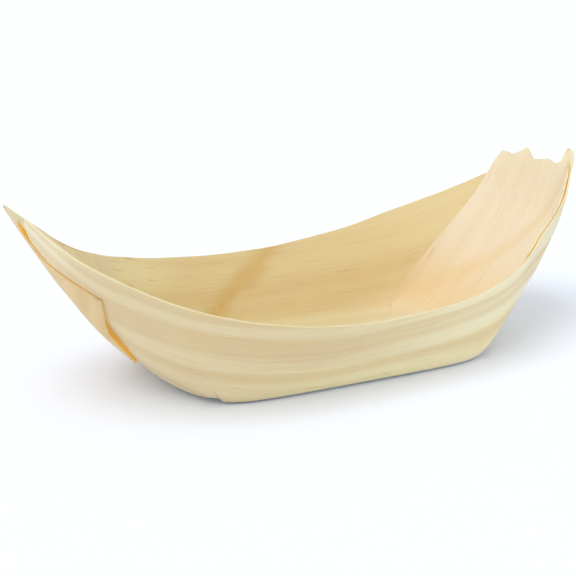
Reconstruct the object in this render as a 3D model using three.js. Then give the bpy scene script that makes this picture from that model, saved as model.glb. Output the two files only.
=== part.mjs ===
import * as THREE from 'three';

// A boat-shaped serving dish folded from one thin rectangular sheet of veneer.
// The grain runs along X. Each end of the sheet has two slits along the grain.
// They leave a tongue between two wings. The tongue is bent up as a ramp inside,
// and the two wings wrap round the stem outside it and overlap each other.
// The two ends are the same shape turned half a turn about the upright axis.
// Sizes are in millimetres. The dish stands on Z = 0, centred on the origin.

const veneerThickness = 0.5;
const layerGap = 0.25;
const layerPitch = veneerThickness + layerGap;

// The rim from the middle of a long side to the stem, in even steps. A row holds
// shares of the half length, of the half width, and of the rise from side to stem.
// On the outer side the wing wraps outermost: it turns in early along the tongue.
const halfLength = 85;
const middleHalfWidth = 37.6;
const middleRimHeight = 20.7;
const stemRimHeight = 51.2;
const outerRim = [
  [0, 1, 0],
  [0.3, 0.944, 0.036],
  [0.54, 0.795, 0.167],
  [0.72, 0.511, 0.38],
  [0.88, 0.335, 0.698],
  [1, 0, 1],
];
const innerRim = [
  [0.3, 1.013, 0.079],
  [0.54, 0.963, 0.246],
  [0.72, 0.806, 0.449],
  [0.88, 0.553, 0.702],
];

// The flat floor is a rectangle with rounded corners, bent up softly all round.
const floorHalfLength = 41.3;
const floorHalfWidth = 28.2;
const floorCornerFullness = 1.08;
const bendRadius = 2.6;
const bendTopLevel = 0.12;

// How the sheet rises from the floor: these powers bend the lines of the wall.
// The first number of a pair holds along the sides, the second at the stem.
const reachPower = [0.94, 0.43];
const flarePower = [1.25, 3.0];
const risePower = [0.95, 0.7];

// Places on the sheet are given by station and level. The station counts 0 at the
// middle of one side, 5 at the stem and 10 at the middle of the other side. The
// level counts 0 at the edge of the floor and 1 at the rim.
const stemStation = 5;
const wingStart = 2.25;
const slitTip = 2.65;
const stationsPerTurn = 20;

// Rough length on the sheet of one station, and of one level at the stem.
const lengthOfStation = 17;
const lengthOfLevel = 50;

// Edges of the outermost wing: cut edge along the slit, then its short end edge.
const outerSlitEdge = [
  [slitTip, 0], [2.63, 0.035], [2.66, 0.07], [3.1, 0.062], [4, 0.062], [5, 0.085],
  [5.5, 0.12], [5.7, 0.2], [5.72, 0.29], [5.82, 0.39], [6, 0.53], [6.14, 0.655],
];
const outerEndEdge = [
  [6.14, 0.655], [5.64, 0.64], [5.2, 0.63], [5.05, 0.74], [5, 1],
];

// Edges of the wing that lies under it. Its corner is cut shorter on the right.
const innerSlitEdge = [
  [slitTip, 0], [2.63, 0.035], [2.66, 0.07], [3.1, 0.062], [4, 0.062], [5, 0.085],
  [5.4, 0.16], [5.65, 0.35], [5.75, 0.5],
];
const innerEndEdges = {
  right: [[5.75, 0.5], [5.3, 0.58], [4.8, 0.76], [4.4, 1]],
  left: [[5.75, 0.5], [5.4, 0.58], [4.95, 0.74], [4.62, 1]],
};

// Edges of the tongue. Its top is torn. At the right end it is low along the outer
// wing and has two peaks, and at the left end it stays under both rims.
const tongueOuterEdge = [
  [slitTip, 0], [2.69, 0.035], [2.69, 0.07], [2.62, 0.2], [2.5, 0.6], [2.44, 1.008],
];
const tongueInnerEdges = {
  right: [
    [7.35, 0], [7.31, 0.03], [7.33, 0.06], [7.42, 0.1], [7.41, 0.14], [7.04, 0.445],
    [6.63, 0.73], [6.2, 0.995], [5.9, 1.13],
  ],
  left: [
    [7.35, 0], [7.31, 0.03], [7.33, 0.06], [7.42, 0.1], [7.41, 0.14], [7.04, 0.445],
    [6.63, 0.73], [6.32, 0.9],
  ],
};

// Each row holds the column of the tongue's grid that a corner of the tear is on,
// and then its station and level.
const tongueTopEdges = {
  right: [
    [0, 2.44, 1.008], [6, 3.4, 1.012], [12, 4.42, 1.0], [15, 5, 0.87],
    [17, 5.46, 0.94], [18, 5.59, 1.07], [20, 5.75, 1.055], [22, 5.9, 1.13],
  ],
  left: [
    [0, 2.44, 1.008], [6, 3.4, 1.0], [12, 4.42, 0.955], [15, 5, 0.84],
    [17, 5.4, 0.88], [18, 5.6, 0.86], [20, 5.95, 0.92], [22, 6.32, 0.9],
  ],
};

// The lower part of the outermost flap stands off the wing under it.
const flapGap = 1.1;
const flapGapLevel = 0.3;
const flapGapReach = 0.16;

// The layers part from their common surface over this many stations each side of
// the stem, and the tongue does so over this much level from the floor.
const partingReach = 1.2;
const tonguePartingLevel = 0.075;

// Past these stations the tongue lies under the inner wing too, and at these levels
// it comes back to one layer's distance.
const tongueUnderInner = [2.9, 3.9];
const tongueComesBack = [0.78, 0.98];

const sideColumns = 22;
const slitColumns = 2;
const wingColumns = 20;
const tongueColumns = 22;
const tongueRows = 15;
const wallLevels = [
  0, 0.02, 0.045, 0.08, 0.12, 0.2, 0.3, 0.42, 0.55, 0.68, 0.8, 0.91, 1,
];

const slideBetween = (a, b, t) => a + (b - a) * t;

function smoothStep(from, to, value) {
  const t = Math.min(Math.max((value - from) / (to - from), 0), 1);
  return t * t * (3 - 2 * t);
}

// One loop of rim points all the way round, made from the two kinds of side.
function makeRimLoop() {
  const place = ([length, width, rise], side) => new THREE.Vector3(
    length * halfLength,
    side * width * middleHalfWidth,
    slideBetween(middleRimHeight, stemRimHeight, rise),
  );
  const oneEnd = [
    ...outerRim.map((share) => place(share, -1)),
    ...[...innerRim].reverse().map((share) => place(share, 1)),
  ];
  const otherEnd = oneEnd.map((p) => new THREE.Vector3(-p.x, -p.y, p.z));
  return new THREE.CatmullRomCurve3([...oneEnd, ...otherEnd], true, 'catmullrom', 0.5);
}

const rimLoop = makeRimLoop();

function rimPoint(station) {
  const turn = station / stationsPerTurn;
  return rimLoop.getPoint(turn - Math.floor(turn));
}

// One quarter of the floor's outline before the bend is a cubic curve. Its two
// handles reach this far along the two sides of the floor's rectangle.
function floorCorner(station) {
  const turn = ((station % stationsPerTurn) + stationsPerTurn) % stationsPerTurn;
  const fromMiddle = Math.abs(((turn + stemStation) % (2 * stemStation)) - stemStation);
  const t = fromMiddle / stemStation;
  const s = 1 - t;
  const full = floorCornerFullness;
  const along = 3 * s * s * t * full + 3 * s * t * t + t * t * t;
  const across = s * s * s + 3 * s * s * t + 3 * s * t * t * full;
  const forward = turn <= 2 * stemStation ? 1 : -1;
  const nearSide = turn <= stemStation || turn >= 3 * stemStation ? -1 : 1;
  return new THREE.Vector3(
    forward * floorHalfLength * along,
    nearSide * floorHalfWidth * across,
    0,
  );
}

// The wall above the bend, as one smooth surface round the whole dish.
function wallPoint(station, level) {
  const angle = (station / stationsPerTurn) * 2 * Math.PI;
  const nearStem = Math.sin(angle) ** 2;
  const rim = rimPoint(station);
  const corner = floorCorner(station);
  const reach = level ** slideBetween(reachPower[0], reachPower[1], nearStem);
  const flare = level ** slideBetween(flarePower[0], flarePower[1], nearStem);
  const rise = level ** slideBetween(risePower[0], risePower[1], nearStem);
  return new THREE.Vector3(
    slideBetween(corner.x, rim.x, reach),
    slideBetween(corner.y, rim.y, flare),
    rim.z * rise,
  );
}

// Where the wall, carried on straight down from the top of the bend, meets Z = 0.
function kneePoint(station) {
  const step = 0.002;
  const top = wallPoint(station, bendTopLevel);
  const slope = wallPoint(station, bendTopLevel + step).sub(top).divideScalar(step);
  return top.addScaledVector(slope, -top.z / slope.z);
}

// Where the flat floor ends: inward of the knee, square to the line of the knees.
function footPoint(station) {
  const step = 0.01;
  const along = kneePoint(station + step).sub(kneePoint(station - step));
  const inward = new THREE.Vector3(-along.y, along.x, 0).normalize();
  return kneePoint(station).addScaledVector(inward, bendRadius);
}

// The bend between floor and wall: a quadratic curve that meets both smoothly.
function bendPoint(station, level) {
  const t = level / bendTopLevel;
  return new THREE.Vector3()
    .addScaledVector(footPoint(station), (1 - t) * (1 - t))
    .addScaledVector(kneePoint(station), 2 * t * (1 - t))
    .addScaledVector(wallPoint(station, bendTopLevel), t * t);
}

function sheetPoint(station, level) {
  if (level < bendTopLevel) {
    return bendPoint(station, level);
  }
  return wallPoint(station, level);
}

function sheetNormal(station, level) {
  if (level < 1e-6) {
    return new THREE.Vector3(0, 0, -1);
  }
  const stationStep = 0.01;
  const levelStep = 0.004;
  const along = sheetPoint(station + stationStep, level)
    .sub(sheetPoint(station - stationStep, level));
  const up = sheetPoint(station, level + levelStep)
    .sub(sheetPoint(station, Math.max(level - levelStep, 0)));
  return along.cross(up).normalize();
}

// How far a layer's outer face stands from the common surface, outward positive.
function pastStem(station) {
  return smoothStep(-partingReach, partingReach, station - stemStation);
}

function outerWingOffset(station, level) {
  const onFlap = smoothStep(0.1, 0.5, station - stemStation);
  const away = (level - flapGapLevel) / flapGapReach;
  return layerPitch * pastStem(station) + flapGap * onFlap * Math.exp(-away * away);
}

function innerWingOffset(station) {
  return -layerPitch * pastStem(station);
}

function tongueOffset(station, level) {
  const parted = smoothStep(0, tonguePartingLevel, level);
  const beforeStem = 1 - pastStem(station);
  const underInner = smoothStep(...tongueUnderInner, station);
  const notBack = 1 - smoothStep(...tongueComesBack, level);
  return -layerPitch * parted * (1 + beforeStem * underInner * notBack);
}

// A growing record of sheet points (outer and inner face together) and triangles.
const sheet = { outer: [], inner: [], faces: [], index: new Map() };

// Points nearer to each other than this are one point.
const weldGap = 0.0005;

function addSheetPoint(outer, inner) {
  const round = (v) => Math.round(v / weldGap);
  const key = [outer, inner].map((p) => `${round(p.x)},${round(p.y)},${round(p.z)}`).join(' ');
  if (!sheet.index.has(key)) {
    sheet.index.set(key, sheet.outer.length);
    sheet.outer.push(outer);
    sheet.inner.push(inner);
  }
  return sheet.index.get(key);
}

function addLayerPoint(station, level, offset, turned) {
  const base = sheetPoint(station, level);
  const normal = sheetNormal(station, level);
  const outer = base.clone().addScaledVector(normal, offset);
  const inner = base.clone().addScaledVector(normal, offset - veneerThickness);
  if (turned) {
    outer.set(-outer.x, -outer.y, outer.z);
    inner.set(-inner.x, -inner.y, inner.z);
  }
  return addSheetPoint(outer, inner);
}

function addFace(a, b, c) {
  if (a !== b && b !== c && c !== a) {
    sheet.faces.push([a, b, c]);
  }
}

// Rows of point numbers joined by triangles, split along the shorter diagonal.
function addGrid(rows, flipped) {
  for (let i = 0; i + 1 < rows.length; i += 1) {
    for (let j = 0; j + 1 < rows[i].length; j += 1) {
      const quad = [rows[i][j], rows[i + 1][j], rows[i + 1][j + 1], rows[i][j + 1]];
      if (flipped) {
        quad.reverse();
      }
      const [a, b, c, d] = quad;
      const diagonalOne = sheet.outer[a].distanceTo(sheet.outer[c]);
      const diagonalTwo = sheet.outer[b].distanceTo(sheet.outer[d]);
      if (diagonalOne <= diagonalTwo) {
        addFace(a, b, c);
        addFace(a, c, d);
      } else {
        addFace(a, b, d);
        addFace(b, c, d);
      }
    }
  }
}

// Even steps along a line of [station, level] places, with its corners rounded off
// by a smooth curve through them.
function stepAlong(places, count) {
  const points = places.map(([s, w]) => (
    new THREE.Vector3(s * lengthOfStation, w * lengthOfLevel, 0)
  ));
  const curve = new THREE.CatmullRomCurve3(points, false, 'centripetal');
  return curve.getSpacedPoints(count).map((p) => [p.x / lengthOfStation, p.y / lengthOfLevel]);
}

// Fills a four-sided patch from its edges. All four run the same two ways.
function fillPatch(bottom, top, start, end) {
  const columns = bottom.length - 1;
  const rows = start.length - 1;
  const patch = [];
  for (let i = 0; i <= columns; i += 1) {
    const u = i / columns;
    const column = [];
    for (let j = 0; j <= rows; j += 1) {
      const v = j / rows;
      const place = [0, 1].map((k) => slideBetween(bottom[i][k], top[i][k], v)
        + slideBetween(start[j][k], end[j][k], u)
        - slideBetween(
          slideBetween(bottom[0][k], bottom[columns][k], u),
          slideBetween(top[0][k], top[columns][k], u),
          v,
        ));
      column.push(place);
    }
    patch.push(column);
  }
  return patch;
}

function sideStations() {
  const stations = [];
  for (let i = 0; i <= sideColumns; i += 1) {
    stations.push(slideBetween(-wingStart, wingStart, i / sideColumns));
  }
  return stations;
}

function slitStations() {
  const stations = [];
  for (let i = 0; i <= slitColumns; i += 1) {
    stations.push(slideBetween(wingStart, slitTip, i / slitColumns));
  }
  return stations;
}

function tongueStations() {
  const stations = [];
  const last = 2 * stemStation - slitTip;
  for (let i = 0; i <= tongueColumns; i += 1) {
    stations.push(slideBetween(slitTip, last, i / tongueColumns));
  }
  return stations;
}

function addSideWall(turned) {
  const rows = sideStations().map((s) => wallLevels.map((w) => addLayerPoint(s, w, 0, turned)));
  addGrid(rows, false);
}

// A wing from the side wall to its end edge. The inner wing is on the far side of
// the stem, so its stations run backwards.
function addWing(slitEdge, endEdge, offset, mirrored, turned) {
  const straight = slitStations().map((s) => [s, 0]);
  const cut = stepAlong(slitEdge, wingColumns - slitColumns);
  const bottom = [...straight, ...cut.slice(1)];
  const tip = endEdge[endEdge.length - 1];
  const top = bottom.map((place, i) => [slideBetween(wingStart, tip[0], i / wingColumns), 1]);
  const start = wallLevels.map((w) => [wingStart, w]);
  const end = stepAlong(endEdge, wallLevels.length - 1);
  const patch = fillPatch(bottom, top, start, end);
  const place = (s) => (mirrored ? 2 * stemStation - s : s);
  const rows = patch.map((column) => column.map(
    ([s, w]) => addLayerPoint(place(s), Math.max(w, 0), offset(s, w), turned),
  ));
  addGrid(rows, mirrored);
}

function tornEdge(corners) {
  const edge = [];
  for (let column = 0; column <= tongueColumns; column += 1) {
    const next = corners.findIndex((corner) => corner[0] >= column);
    const b = corners[next];
    const a = corners[Math.max(next - 1, 0)];
    const t = b[0] === a[0] ? 0 : (column - a[0]) / (b[0] - a[0]);
    edge.push([slideBetween(a[1], b[1], t), slideBetween(a[2], b[2], t)]);
  }
  return edge;
}

function addTongue(innerEdge, topEdge, turned) {
  const bottom = tongueStations().map((s) => [s, 0]);
  const top = tornEdge(topEdge);
  const start = stepAlong(tongueOuterEdge, tongueRows);
  const end = stepAlong(innerEdge, tongueRows);
  const patch = fillPatch(bottom, top, start, end);
  const rows = patch.map((column) => column.map(
    ([s, w]) => addLayerPoint(s, Math.max(w, 0), tongueOffset(s, w), turned),
  ));
  addGrid(rows, false);
}

// Half of the flat floor, from its edge to the centre line.
function addHalfFloor(turned) {
  const nearEnd = [
    ...slitStations().slice(1, -1),
    ...tongueStations().filter((s) => s <= stemStation),
  ];
  const otherEnd = nearEnd.map((s) => -s).reverse();
  const stations = [...otherEnd, ...sideStations(), ...nearEnd];
  const lengthPerStation = sheetPoint(stemStation, 0).x / stemStation;
  const rows = stations.map((s) => {
    const edge = sheetPoint(s, 0);
    const middle = new THREE.Vector3(s * lengthPerStation, 0, 0);
    const place = (point) => {
      const outer = turned ? new THREE.Vector3(-point.x, -point.y, 0) : point;
      return addSheetPoint(outer, outer.clone().setZ(veneerThickness));
    };
    return [place(middle), place(edge.setZ(0))];
  });
  addGrid(rows, false);
}

for (const end of ['right', 'left']) {
  const turned = end === 'left';
  addSideWall(turned);
  addWing(outerSlitEdge, outerEndEdge, outerWingOffset, false, turned);
  addWing(innerSlitEdge, innerEndEdges[end], innerWingOffset, true, turned);
  addTongue(tongueInnerEdges[end], tongueTopEdges[end], turned);
  addHalfFloor(turned);
}

// Turns the sheet of points into a closed solid: outer face, inner face and edges.
function closeSheet() {
  const count = sheet.outer.length;
  const triangles = [];
  const edges = new Map();
  for (const [a, b, c] of sheet.faces) {
    triangles.push([a, b, c], [a + count, c + count, b + count]);
    for (const [p, q] of [[a, b], [b, c], [c, a]]) {
      edges.set(`${p} ${q}`, [p, q]);
    }
  }
  for (const [p, q] of edges.values()) {
    if (!edges.has(`${q} ${p}`)) {
      triangles.push([q, p, p + count], [q, p + count, q + count]);
    }
  }
  return triangles;
}

function buildGeometry() {
  const geometry = new THREE.BufferGeometry();
  const positions = [];
  for (const point of [...sheet.outer, ...sheet.inner]) {
    positions.push(point.x, point.y, point.z);
  }
  geometry.setAttribute('position', new THREE.Float32BufferAttribute(positions, 3));
  geometry.setIndex(closeSheet().flat());
  geometry.computeVertexNormals();
  return geometry;
}

const veneer = new THREE.MeshStandardMaterial({
  color: 0xe8d6ac,
  roughness: 0.7,
  metalness: 0,
});

const boat = new THREE.Mesh(buildGeometry(), veneer);
boat.name = 'veneer_boat';

const group = new THREE.Group();
group.name = 'bamboo_serving_boat';
group.add(boat);

export default group;
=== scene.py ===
import math

import bmesh
import bpy
import numpy as np
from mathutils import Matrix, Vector


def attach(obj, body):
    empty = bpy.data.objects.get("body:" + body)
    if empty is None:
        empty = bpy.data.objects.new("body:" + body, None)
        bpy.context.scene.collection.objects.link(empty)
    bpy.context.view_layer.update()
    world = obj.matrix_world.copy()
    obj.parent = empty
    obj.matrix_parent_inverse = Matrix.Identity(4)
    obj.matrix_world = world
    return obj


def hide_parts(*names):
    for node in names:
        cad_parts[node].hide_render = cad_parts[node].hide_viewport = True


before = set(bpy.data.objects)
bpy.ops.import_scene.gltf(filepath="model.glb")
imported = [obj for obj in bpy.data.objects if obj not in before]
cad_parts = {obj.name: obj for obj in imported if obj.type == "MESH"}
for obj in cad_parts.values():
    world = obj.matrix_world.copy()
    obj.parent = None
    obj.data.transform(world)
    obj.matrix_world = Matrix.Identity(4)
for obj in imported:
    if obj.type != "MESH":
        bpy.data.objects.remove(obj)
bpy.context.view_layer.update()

# The boat
# One sheet of peeled bamboo veneer, half a millimetre thick, steamed and folded.
# It is the CAD solid's own shape with rounder bends, a slight natural waviness
# and ragged torn tops on the tongues inside the two ends.

bpy.ops.object.select_all(action="DESELECT")
cad_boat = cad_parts["veneer_boat"]
veneer_thickness = 0.0005

boat = cad_boat.copy()
boat.data = cad_boat.data.copy()
boat.name = "folded_veneer"
boat.parent = None
bpy.context.scene.collection.objects.link(boat)
boat.select_set(True)
bpy.context.view_layer.objects.active = boat

# Merge the loose triangles, pair them into quads and mark the sheet's cut edges.
bpy.ops.object.mode_set(mode="EDIT")
bpy.ops.mesh.select_all(action="SELECT")
bpy.ops.mesh.remove_doubles(threshold=0.00001)
bpy.ops.mesh.customdata_custom_splitnormals_clear()
bpy.ops.mesh.select_all(action="DESELECT")
bpy.ops.mesh.edges_select_sharp(sharpness=math.radians(50))
bpy.ops.mesh.mark_seam(clear=False)
bpy.ops.transform.edge_crease(value=1.0)
bpy.ops.mesh.select_all(action="SELECT")
bpy.ops.mesh.tris_convert_to_quads(
    face_threshold=math.radians(25),
    shape_threshold=math.radians(60),
    seam=True,
)
bpy.ops.uv.unwrap(method="ANGLE_BASED", margin=0.01)
bpy.ops.object.mode_set(mode="OBJECT")

# Lay the unwrapped sheet out at its real size: u runs along the grain and v across
# it, both in metres. Each face of the sheet is fitted on the floor, which is flat.
# The cut edges between the two faces take the place of the corners they touch.
mesh = boat.data
flat_uv = mesh.uv_layers.active
corner_vertex = np.array([loop.vertex_index for loop in mesh.loops])
place = np.array([vertex.co[:] for vertex in mesh.vertices])
corner_uv = np.array([data.uv[:] for data in flat_uv.data])


def reach_from(first, may_cross):
    reached = {first}
    queue = [first]
    while queue:
        for edge in queue.pop().edges:
            if not may_cross(edge):
                continue
            for other in edge.link_faces:
                if other not in reached:
                    reached.add(other)
                    queue.append(other)
    return reached


shape = bmesh.new()
shape.from_mesh(mesh)
islands = []
left_over = set(shape.faces)
while left_over:
    island = reach_from(left_over.pop(), lambda edge: not edge.seam)
    left_over -= island
    islands.append([face.index for face in island])
islands.sort(key=len, reverse=True)

# The two tongues are what hangs together, past the ends of the slits, with the
# middle of each end of the floor.
slit_end = 0.0435
tongue_foot = 0.047
on_tongue = np.zeros(len(place))
for end in (-1, 1):
    foot = Vector((end * tongue_foot, 0, 2 * veneer_thickness))
    first = min(shape.faces, key=lambda face: (face.calc_center_median() - foot).length)
    tongue = reach_from(
        first,
        lambda edge: min(end * vertex.co.x for vertex in edge.verts) > slit_end,
    )
    for face in tongue:
        for vertex in face.verts:
            on_tongue[vertex.index] = end
shape.free()

# The left tongue lies a touch lower, so that its edge hides below the far rim.
left_tongue_lower = np.array([0.00030, 0.0, -0.00058])
lower_from, lower_over = 0.016, 0.008
left_share = np.clip((place[:, 2] - lower_from) / lower_over, 0, 1) * (on_tongue < -0.5)
place = place + left_share[:, None] * left_tongue_lower

# The right stem bows outward half way up and comes back a little at its tip.
bow_heights = [0.010, 0.022, 0.033, 0.040, 0.044, 0.047]
bow_outward = [0.0, 0.0012, 0.0020, 0.0012, 0.0, -0.0009]
bow_from, bow_over = 0.045, 0.020
bow_share = np.clip((place[:, 0] - bow_from) / bow_over, 0, 1)
place[:, 0] += bow_share * np.interp(place[:, 2], bow_heights, bow_outward)
mesh.vertices.foreach_set("co", place.ravel())

sheet_place = np.zeros((len(place), 2))
sheet_side = np.zeros(len(place))
for island in islands[:2]:
    corners = np.array([c for f in island for c in mesh.polygons[f].loop_indices])
    on_floor = corners[place[corner_vertex[corners], 2] < 1.2 * veneer_thickness]
    known = np.column_stack([corner_uv[on_floor], np.ones(len(on_floor))])
    fit = np.linalg.lstsq(known, place[corner_vertex[on_floor], :2], rcond=None)[0]
    laid = np.column_stack([corner_uv[corners], np.ones(len(corners))]) @ fit
    sheet_place[corner_vertex[corners]] = laid
    inside = place[corner_vertex[on_floor], 2].mean() > veneer_thickness / 2
    sheet_side[corner_vertex[corners]] = 1.0 if inside else 0.0

for corner, vertex in enumerate(corner_vertex):
    flat_uv.data[corner].uv = sheet_place[vertex]
flat_uv.name = "sheet"

# The attribute runs from 0 on the outer face to 1 on the inner face, so that what
# lies between is the cut edge.
inner_face = mesh.attributes.new("inner_face", "FLOAT", "POINT")
inner_face.data.foreach_set("value", sheet_side)
tongue_end = mesh.attributes.new("tongue_end", "FLOAT", "POINT")
tongue_end.data.foreach_set("value", on_tongue)

# Steamed veneer never dries quite flat: the walls wander a little, the floor less.
wandering = boat.vertex_groups.new(name="wandering")
floor_calm = 0.002
wall_free = 0.016
for vertex in mesh.vertices:
    share = (vertex.co.z - floor_calm) / (wall_free - floor_calm)
    if share > 0:
        wandering.add([vertex.index], min(share, 1.0), "REPLACE")
wander = bpy.data.textures.new("veneer_wander", "CLOUDS")
wander.noise_scale = 0.022
wander.cloud_type = "COLOR"
bpy.ops.object.modifier_add(type="DISPLACE")
boat.modifiers[-1].texture = wander
boat.modifiers[-1].texture_coords = "LOCAL"
boat.modifiers[-1].direction = "RGB_TO_XYZ"
boat.modifiers[-1].vertex_group = "wandering"
boat.modifiers[-1].strength = 0.0009
boat.modifiers[-1].mid_level = 0.5
bpy.ops.object.modifier_apply(modifier=boat.modifiers[-1].name)

bpy.ops.object.modifier_add(type="SUBSURF")
boat.modifiers[-1].levels = 2
boat.modifiers[-1].render_levels = 2
boat.modifiers[-1].boundary_smooth = "PRESERVE_CORNERS"
bpy.ops.object.modifier_apply(modifier=boat.modifiers[-1].name)
bpy.ops.object.shade_smooth_by_angle(angle=math.radians(40))

# The torn tops of the tongues are ragged, since each fibre broke at its own length.
fibre_width = 0.0006
deepest_break = 0.0010
torn_reach = 0.0018
least_torn = 0.088
widest_torn = 0.026
tongue_rise = np.array([0.54, 0.0, 0.84])
mesh = boat.data
count = len(mesh.vertices)
fine_place = np.empty(3 * count)
mesh.vertices.foreach_get("co", fine_place)
fine_place = fine_place.reshape(count, 3)
fine_side = np.empty(count)
mesh.attributes["inner_face"].data.foreach_get("value", fine_side)
fine_tongue = np.empty(count)
mesh.attributes["tongue_end"].data.foreach_get("value", fine_tongue)
corner_vertex = np.empty(len(mesh.loops), dtype=int)
mesh.loops.foreach_get("vertex_index", corner_vertex)
corner_uv = np.empty(2 * len(mesh.loops))
mesh.uv_layers["sheet"].data.foreach_get("uv", corner_uv)
fine_sheet = np.zeros((count, 2))
fine_sheet[corner_vertex] = corner_uv.reshape(-1, 2)
fibre_count = 400
first_fibre = -0.05
breaks = deepest_break * np.random.default_rng(7).random(fibre_count) ** 2
for end in (-1, 1):
    along_tongue = end * fine_sheet[:, 0]
    across_tongue = fine_sheet[:, 1]
    on_end = (end * fine_tongue > 0.5) & (along_tongue > least_torn)
    on_edge = on_end & (np.abs(fine_side - 0.5) < 0.4) & (np.abs(across_tongue) < widest_torn)
    order = np.argsort(across_tongue[on_edge])
    top_across = across_tongue[on_edge][order]
    top_along = along_tongue[on_edge][order]
    below_top = np.interp(across_tongue, top_across, top_along) - along_tongue
    share = np.clip(1 - np.abs(below_top) / torn_reach, 0, 1) * on_end
    fibre_place = (across_tongue - first_fibre) / fibre_width
    broken = np.interp(fibre_place, np.arange(fibre_count), breaks)
    fine_place -= (share * broken)[:, None] * tongue_rise * (end, 1, 1)

# Where a tongue's fold meets the slit, the rounding lifts the underside through the
# sheet, so there it is held down to the slope of the fold.
fold_middle, fold_turn, fold_slope = 0.04737, 0.331, 0.5
rounding_from, rounding_to = 0.009, 0.0175
rounding_reach, rounding_top = 0.003, 0.0025
fold_across = np.abs(fine_place[:, 1])
past_fold = np.abs(fine_place[:, 0]) - (fold_middle - fold_turn * fold_across)
underside = (fine_side < 0.05) & (fold_across > rounding_from) & (fold_across < rounding_to)
underside &= (np.abs(past_fold) < rounding_reach) & (fine_place[:, 2] < rounding_top)
held_down = np.minimum(fine_place[:, 2], fold_slope * np.maximum(past_fold, 0))
fine_place[:, 2] = np.where(underside, held_down, fine_place[:, 2])
mesh.vertices.foreach_set("co", fine_place.ravel())
mesh.update()


# Colours of the dry wood, each as it would look in daylight, and some painted light
# and shade: the cut edge highlight, crease shade, bounce light at the foot and gap glow.
def daylight(red, green, blue):
    linear = []
    for value in (red, green, blue):
        share = value / 255
        linear.append(share / 12.92 if share < 0.04045 else ((share + 0.055) / 1.055) ** 2.4)
    return (*linear, 1.0)


outer_wood = daylight(227, 212, 173)
outer_right_wood = daylight(247, 238, 204)
inner_wood = daylight(224, 206, 160)
inner_left_wood = daylight(236, 224, 184)
tongue_wood = daylight(238, 223, 196)
left_tongue_wood = daylight(246, 236, 204)
tip_wood = daylight(234, 222, 182)
# Pale foot band: partly growth banding, partly painted bounce light from the floor.
pale_foot_and_bounce_light_wood = daylight(246, 233, 190)
flap_wood = daylight(226, 196, 142)
late_wood = daylight(206, 176, 118)
# Painted shade for the crease and for the low part of the tongue.
crease_shade_wood = daylight(228, 200, 146)
heart_wood = daylight(206, 174, 96)
knot_wood = daylight(170, 124, 70)
# Painted highlight for the cut edges.
cut_edge_highlight_wood = daylight(238, 224, 186)
# Painted shade and painted glow for the narrow gaps between layers.
painted_gap_shade_wood = daylight(226, 197, 114)
painted_gap_glow_wood = daylight(236, 196, 84)

veneer = bpy.data.materials.new("bamboo_veneer")
veneer.use_nodes = True
tree = veneer.node_tree
surface = tree.nodes["Principled BSDF"]


def join(kind, inputs, **settings):
    node = tree.nodes.new(kind)
    for name, value in settings.items():
        setattr(node, name, value)
    for socket, value in inputs.items():
        if isinstance(value, bpy.types.NodeSocket):
            tree.links.new(value, node.inputs[socket])
        else:
            node.inputs[socket].default_value = value
    return node


def calc(operation, first, second=0.0, third=0.0):
    inputs = {0: first, 1: second, 2: third}
    return join("ShaderNodeMath", inputs, operation=operation).outputs[0]


def between(value, low, high):
    inputs = {"Value": value, "From Min": low, "From Max": high}
    return join("ShaderNodeMapRange", inputs, interpolation_type="SMOOTHSTEP").outputs[0]


def tint(share, under, over):
    inputs = {0: share, 6: under, 7: over}
    return join("ShaderNodeMix", inputs, data_type="RGBA").outputs[2]


# Where a point is: along and across the grain of the flat sheet, which face of the
# sheet it is on, and where it stands on the folded boat.
on_sheet = join("ShaderNodeSeparateXYZ", {0: join("ShaderNodeUVMap", {}, uv_map="sheet").outputs[0]})
along, across = on_sheet.outputs[0], on_sheet.outputs[1]
side = join("ShaderNodeAttribute", {}, attribute_name="inner_face").outputs["Fac"]
folded = join("ShaderNodeSeparateXYZ", {0: join("ShaderNodeTexCoord", {}).outputs["Object"]})
east, north, height = folded.outputs


def streaks(per_metre_along, per_metre_across, detail, seed, drift=0.0):
    on_grain = join("ShaderNodeCombineXYZ", {
        0: calc("MULTIPLY", along, per_metre_along),
        1: calc("MULTIPLY", calc("ADD", across, drift), per_metre_across),
        2: calc("MULTIPLY_ADD", side, 0.8, seed),
    })
    inputs = {"Vector": on_grain.outputs[0], "Scale": 1.0, "Detail": detail, "Roughness": 0.55}
    return join("ShaderNodeTexNoise", inputs).outputs["Fac"]


# Grain: broad soft growth bands that wander, finer streaks and single fibres.
drift = calc("MULTIPLY", calc("SUBTRACT", streaks(9, 14, 1.0, 0.0), 0.5), 0.016)
bands = between(streaks(3.5, 170, 1.0, 3.1, drift), 0.42, 0.68)
streak = streaks(22, 800, 2.0, 7.7, drift)
fibre = streaks(90, 3200, 2.0, 12.3, drift)

# Regions of the sheet: the right tongue with the floor before it, the right of the
# outer wall, the left of the inner wall, the outermost flap and the tips. Each fades
# in between two distances from the boat's middle, in metres.
right_wall = (-0.02, 0.05)
left_wall = (0.02, 0.05)
pale_floor = (0.02, 0.046)
left_tip = (0.065, 0.085)
stem_ends = (0.086, 0.096)
outer_flap = (0.042, 0.05)
floor_heights = (0.0012, 0.007)
west = calc("MULTIPLY", east, -1.0)
is_inner = between(side, 0.45, 0.55)
is_outer = calc("SUBTRACT", 1.0, is_inner)
tongue = join("ShaderNodeAttribute", {}, attribute_name="tongue_end").outputs["Fac"]
is_tongue = between(tongue, 0.4, 0.6)
on_floor = calc("SUBTRACT", 1.0, between(height, *floor_heights))
before_tongue = calc("MULTIPLY", between(east, *pale_floor), on_floor)
pale_share = calc("MULTIPLY", calc("MAXIMUM", is_tongue, before_tongue), is_inner)
not_tongue = calc("SUBTRACT", 1.0, between(calc("ABSOLUTE", tongue), 0.4, 0.6))

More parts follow.
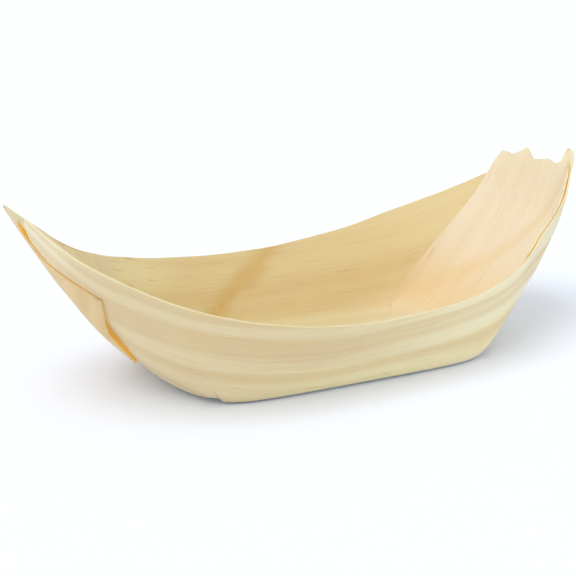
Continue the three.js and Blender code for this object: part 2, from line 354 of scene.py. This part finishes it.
outer_colour = tint(between(east, *right_wall), outer_wood, outer_right_wood)
inner_colour = tint(between(west, *left_wall), inner_wood, inner_left_wood)
wood = tint(is_inner, outer_colour, inner_colour)
wood = tint(pale_share, wood, tongue_wood)
# Painted shade low on the tongue and on the pale floor before it, towards the fold.
low_on_tongue = (0.006, 0.024)
low_shade_share = calc("MULTIPLY", calc("SUBTRACT", 1.0, between(height, *low_on_tongue)), pale_share)
wood = tint(calc("MULTIPLY", low_shade_share, 0.6), wood, crease_shade_wood)
left_share = calc("MULTIPLY", between(calc("MULTIPLY", tongue, -1.0), 0.4, 0.6), is_inner)
wood = tint(calc("MULTIPLY", left_share, 0.8), wood, left_tongue_wood)
wood = tint(calc("MULTIPLY", between(west, *left_tip), 0.7), wood, tip_wood)
stem_share = calc("MULTIPLY", between(calc("ABSOLUTE", along), *stem_ends), not_tongue)
wood = tint(calc("MULTIPLY", stem_share, 0.7), wood, outer_right_wood)
flap_share = calc("MULTIPLY", between(west, *outer_flap), between(across, 0.0, 0.01))
wood = tint(calc("MULTIPLY", calc("MULTIPLY", flap_share, is_outer), 0.8), wood, flap_wood)

# A pale band low on the outer walls, just above the fold at the floor's edge: partly a
# growth band, partly painted bounce light from the floor.
band_lower_edge = (0.024, 0.029)
band_upper_edge = (0.034, 0.038)
band_left_end = (-0.045, -0.005)
from_middle = calc("ABSOLUTE", across)
foot_band = calc("MULTIPLY",
    between(from_middle, *band_lower_edge),
    calc("SUBTRACT", 1.0, between(from_middle, *band_upper_edge)),
)
foot_band_and_bounce_share = calc("MULTIPLY", calc("MULTIPLY", foot_band, is_outer), between(east, *band_left_end))
wood = tint(calc("MULTIPLY", foot_band_and_bounce_share, 0.9), wood, pale_foot_and_bounce_light_wood)

# The growth shows less inside, and least on the tongue. One band is stronger than
# the rest, low on the near wall.
quiet = calc("MAXIMUM", calc("MULTIPLY", pale_share, 0.75), calc("MULTIPLY", is_inner, 0.4))
shown = calc("SUBTRACT", 1.0, quiet)
low_band_place, low_band_reach = -0.0405, 0.0035
low_band_away = calc("ABSOLUTE", calc("SUBTRACT", calc("ADD", across, drift), low_band_place))
low_band = calc("SUBTRACT", 1.0, between(low_band_away, 0.0, low_band_reach))
growth = calc("MAXIMUM", bands, calc("MULTIPLY", low_band, is_outer))
for pattern, strength in (
    (growth, 0.36),
    (between(streak, 0.5, 0.75), 0.2),
    (between(fibre, 0.45, 0.8), 0.18),
):
    wood = tint(calc("MULTIPLY", pattern, calc("MULTIPLY", shown, strength)), wood, late_wood)

# Flecks: short dark pores, thick in one patch of the far wall and sparse elsewhere.
fleck_noise = streaks(90, 1700, 0.0, 21.0, drift)
patch_start, patch_end, patch_bottom = (0.034, 0.04), (0.052, 0.058), (0.015, 0.019)
fleck_zone = calc("MULTIPLY", between(west, *patch_start), is_inner)
fleck_zone = calc("MULTIPLY", fleck_zone, calc("SUBTRACT", 1.0, between(west, *patch_end)))
fleck_zone = calc("MULTIPLY", fleck_zone, between(height, *patch_bottom))
fleck = between(calc("MULTIPLY_ADD", fleck_zone, 0.03, fleck_noise), 0.70, 0.78)
fleck_share = calc("MULTIPLY_ADD", fleck_zone, 0.15, 0.15)
wood = tint(calc("MULTIPLY", fleck, fleck_share), wood, knot_wood)

# Painted shade in the soft crease across the tongue, where the ramp was bent: a
# straight line in plan.
crease_turn, crease_place, crease_reach = 0.86, 0.0598, 0.0042
crease_line = calc("SUBTRACT", calc("MULTIPLY_ADD", east, crease_turn, north), crease_place)
crease_shade = calc("SUBTRACT", 1.0, between(calc("ABSOLUTE", crease_line), 0.0003, crease_reach))
crease_shade_share = calc("MULTIPLY", calc("MULTIPLY", crease_shade, is_tongue), 0.4)
wood = tint(calc("MULTIPLY", crease_shade_share, is_inner), wood, crease_shade_wood)

# A slanting streak of darker heartwood in the far wall, with a pin knot near its foot.
heart_lean, heart_foot = 1.45, -0.0268
heart_width = (0.0003, 0.0085)
heart_wandering = 0.012
heart_middle = calc("MULTIPLY_ADD", height, heart_lean, heart_foot)
heart_away = calc("ABSOLUTE", calc("SUBTRACT", east, heart_middle))
heart_wander = calc("SUBTRACT", streaks(60, 160, 2.0, 31.0), 0.5)
heart_blur = calc("MULTIPLY_ADD", heart_wander, heart_wandering, heart_away)
heart = calc("SUBTRACT", 1.0, between(heart_blur, *heart_width))
far_wall = calc("MULTIPLY", between(north, 0.02, 0.028), is_inner)
wood = tint(calc("MULTIPLY", calc("MULTIPLY", heart, far_wall), 0.55), wood, heart_wood)
knot_east, knot_height = -0.0163, 0.0071
knot_flattened = 1.4
knot_size = (0.0002, 0.0010)
knot_away = calc("SQRT", calc("ADD",
    calc("POWER", calc("SUBTRACT", east, knot_east), 2.0),
    calc("POWER", calc("MULTIPLY", calc("SUBTRACT", height, knot_height), knot_flattened), 2.0),
))
knot = calc("MULTIPLY", calc("SUBTRACT", 1.0, between(knot_away, *knot_size)), far_wall)
wood = tint(calc("MULTIPLY", knot, 0.25), wood, knot_wood)

# Cut edges are painted paler, a painted highlight. Where the layers lie close, an
# occlusion mask paints the wood a deeper amber and lets it glow: painted shade and a
# painted glow, standing in for light that has passed through the wood again and again.
edge = calc("SUBTRACT", 1.0, calc("ABSOLUTE", calc("MULTIPLY_ADD", side, 2.0, -1.0)))
wood = tint(calc("MULTIPLY", between(edge, 0.1, 0.5), 0.5), wood, cut_edge_highlight_wood)
close = join("ShaderNodeAmbientOcclusion", {"Distance": 0.003}, samples=8, only_local=True)
gap_shade_and_glow_share = between(calc("SUBTRACT", 1.0, close.outputs["AO"]), 0.55, 0.95)
gap_shade_and_glow_share = calc("MULTIPLY", gap_shade_and_glow_share, calc("SUBTRACT", 1.0, between(edge, 0.02, 0.1)))
wood = tint(calc("MULTIPLY", gap_shade_and_glow_share, 0.8), wood, painted_gap_shade_wood)
tree.links.new(wood, surface.inputs["Base Color"])
painted_glow = tint(gap_shade_and_glow_share, (0, 0, 0, 1), painted_gap_glow_wood)
tree.links.new(painted_glow, surface.inputs["Emission Color"])
surface.inputs["Emission Strength"].default_value = 0.26

# Fine ridges of the fibres, and the faint cross ripple that the peeling knife left.
ripple_length = 0.0011
ripple = calc("SINE", calc("MULTIPLY", along, 2 * math.pi / ripple_length))
ripple_zone = between(streaks(14, 40, 1.0, 41.0), 0.45, 0.65)
relief = calc("MULTIPLY_ADD", calc("MULTIPLY", ripple, ripple_zone), 0.13, calc("ADD", fibre, streak))
bump = join("ShaderNodeBump", {"Strength": 0.5, "Distance": 0.00012, "Height": relief})
tree.links.new(bump.outputs[0], surface.inputs["Normal"])
tree.links.new(calc("MULTIPLY_ADD", fibre, 0.2, 0.5), surface.inputs["Roughness"])
surface.inputs["Specular IOR Level"].default_value = 0.35
surface.inputs["Subsurface Weight"].default_value = 0.35
surface.inputs["Subsurface Radius"].default_value = (1.0, 0.7, 0.32)
surface.inputs["Subsurface Scale"].default_value = 0.0016

boat.data.materials.clear()
boat.data.materials.append(veneer)

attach(boat, "root")
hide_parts("veneer_boat")

# The floor
# A plain white sweep that the boat stands on. It isn't part of the boat. Its faint
# blue makes up for the warm light that the boat throws on it.
bpy.ops.object.select_all(action="DESELECT")
bpy.ops.mesh.primitive_plane_add(size=24.0, location=(0, 0, -0.0002))
ground = bpy.context.object
ground.name = "ground"
paper = bpy.data.materials.new("white_ground")
paper.use_nodes = True
paper_surface = paper.node_tree.nodes["Principled BSDF"]
paper_surface.inputs["Base Color"].default_value = (0.93, 0.955, 1.0, 1)
paper_surface.inputs["Roughness"].default_value = 0.9
paper_surface.inputs["Emission Color"].default_value = (0.0, 0.3, 1.0, 1)
paper_surface.inputs["Emission Strength"].default_value = 0.07
ground.data.materials.append(paper)

# The light
# A white room, and one very broad soft lamp high above, a little to the left.
world = bpy.data.worlds.new("white_room")
bpy.context.scene.world = world
world.use_nodes = True
room_light = world.node_tree.nodes["Background"]
room_light.inputs["Color"].default_value = (0.985, 0.99, 1.0, 1)
room_light.inputs["Strength"].default_value = 0.74

lamp_data = bpy.data.lights.new("overhead_lamp", "SUN")
lamp_data.angle = math.radians(45)
lamp_data.energy = 1.2
lamp = bpy.data.objects.new("overhead_lamp", lamp_data)
lamp.rotation_euler = Vector((0.5, 0.15, -1)).to_track_quat("-Z", "Y").to_euler()
bpy.context.scene.collection.objects.link(lamp)

# The camera
# Close above the near side, turned so that the right end comes forward.
camera_data = bpy.data.cameras.new("camera")
camera_data.lens = 76.94
camera_data.sensor_width = 36.0
camera = bpy.data.objects.new("camera", camera_data)
turn = math.radians(25.99)
lift = math.radians(17.49)
distance = 0.3600
looked_at = Vector((0.000187, 0.018495, 0.013500))
sight = Vector((
    math.sin(turn) * math.cos(lift),
    math.cos(turn) * math.cos(lift),
    -math.sin(lift),
))
camera.location = looked_at - distance * sight
camera.rotation_euler = sight.to_track_quat("-Z", "Y").to_euler()
bpy.context.scene.collection.objects.link(camera)
bpy.context.scene.camera = camera
bpy.context.scene.view_settings.view_transform = "Standard"
